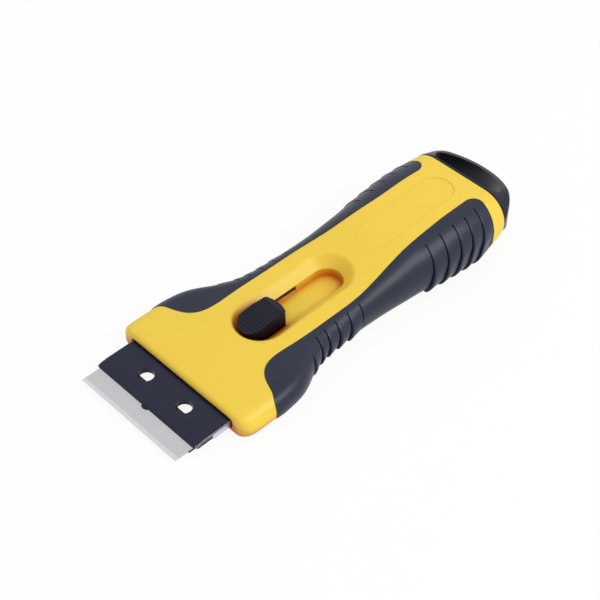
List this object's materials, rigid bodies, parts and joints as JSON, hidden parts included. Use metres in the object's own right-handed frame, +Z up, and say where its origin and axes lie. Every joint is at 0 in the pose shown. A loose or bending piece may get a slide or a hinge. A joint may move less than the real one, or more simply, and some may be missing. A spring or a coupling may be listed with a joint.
{
  "type": "ceramic hob scraper",
  "caption": "Retractable ceramic hob scraper with a wide steel blade, a thumb slide, soft side grips and a hanging eye.",
  "frame": {"origin": "centre of the flat underside on which the handle rests, half way along the moulded body", "axes": "+X to the right seen from above with the blade away, +Y from the blade to the hanging eye, +Z up out of the thumb side"},
  "size_m": [0.0816, 0.2246, 0.0304],
  "materials": {
    "yellow_plastic": "satin",
    "black_plastic": "matte",
    "soft_grip": "matte",
    "black_steel": "gloss",
    "blade_steel": "polished",
    "zinc_steel": "satin"
  },
  "bodies": {
    "root": {"handle_casing": "yellow_plastic", "bottom_cover": "yellow_plastic", "grip_left": "soft_grip", "grip_right": "soft_grip", "end_cap": "black_plastic", "cover_screws": "zinc_steel", "detent_spring_left": "zinc_steel", "detent_spring_right": "zinc_steel", "spring_pegs": "zinc_steel"},
    "blade_carriage": {"thumb_button": "black_plastic", "button_screws": "zinc_steel", "blade_carrier": "zinc_steel", "top_jaw": "black_steel", "lower_jaw": "black_steel", "jaw_rivets": "zinc_steel", "blade_stud": "black_steel", "blade": "blade_steel"}
  },
  "joints": [
    {"name": "blade_slide", "type": "slide", "parent": "root", "child": "blade_carriage", "axis": [0, 0.9958, 0.0912], "range_m": [0, 0.03]}
  ]
}
